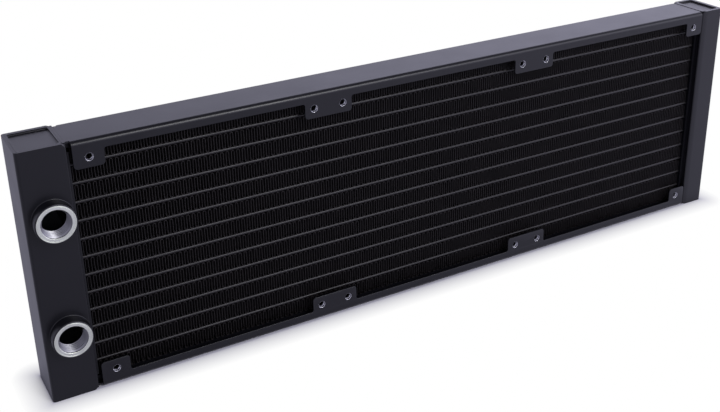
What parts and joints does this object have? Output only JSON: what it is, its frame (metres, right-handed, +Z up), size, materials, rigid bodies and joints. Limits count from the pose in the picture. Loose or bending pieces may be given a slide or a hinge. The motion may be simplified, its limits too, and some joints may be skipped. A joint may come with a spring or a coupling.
{
  "type": "liquid cooling radiator",
  "caption": "Slim black aluminium radiator for three fans in a row, with flat tubes, corrugated fins, a port tank with two threaded collars and folded mounting rails.",
  "frame": {"origin": "centre of the middle fan's four screw holes on the front fan face, which is the port side", "axes": "+X along the length from the port tank to the return tank, +Y through the thickness to the back fan face, +Z up with the radiator standing on its long edge"},
  "size_m": [0.3965, 0.03, 0.121],
  "materials": {
    "black_powder_coat": "satin black powder coat on aluminium sheet",
    "machined_aluminium": "turned face and thread left bare, side painted black",
    "bare_aluminium": "brazed, unpainted",
    "coated_tube": "thin black coat on a flat aluminium tube",
    "coated_fin": "thin black coat on aluminium foil"
  },
  "bodies": {
    "root": {"port_tank_shell": "black_powder_coat", "port_tank_header": "black_powder_coat", "port_tank_top_cap": "black_powder_coat", "port_tank_bottom_cap": "black_powder_coat", "port_tank_divider": "bare_aluminium", "inlet_port_collar": "machined_aluminium", "outlet_port_collar": "machined_aluminium", "return_tank_shell": "black_powder_coat", "return_tank_header": "black_powder_coat", "return_tank_top_cap": "black_powder_coat", "return_tank_bottom_cap": "black_powder_coat", "top_side_rail": "black_powder_coat", "bottom_side_rail": "black_powder_coat", "top_core_plate": "black_powder_coat", "bottom_core_plate": "black_powder_coat", "flat_tube_01": "coated_tube", "flat_tube_02": "coated_tube", "flat_tube_03": "coated_tube", "flat_tube_04": "coated_tube", "flat_tube_05": "coated_tube", "flat_tube_06": "coated_tube", "flat_tube_07": "coated_tube", "flat_tube_08": "coated_tube", "flat_tube_09": "coated_tube", "flat_tube_10": "coated_tube", "flat_tube_11": "coated_tube", "flat_tube_12": "coated_tube", "fin_strip_01": "coated_fin", "fin_strip_02": "coated_fin", "fin_strip_03": "coated_fin", "fin_strip_04": "coated_fin", "fin_strip_05": "coated_fin", "fin_strip_06": "coated_fin", "fin_strip_07": "coated_fin", "fin_strip_08": "coated_fin", "fin_strip_09": "coated_fin", "fin_strip_10": "coated_fin", "fin_strip_11": "coated_fin", "fin_strip_12": "coated_fin", "fin_strip_13": "coated_fin"}
  },
  "joints": []
}
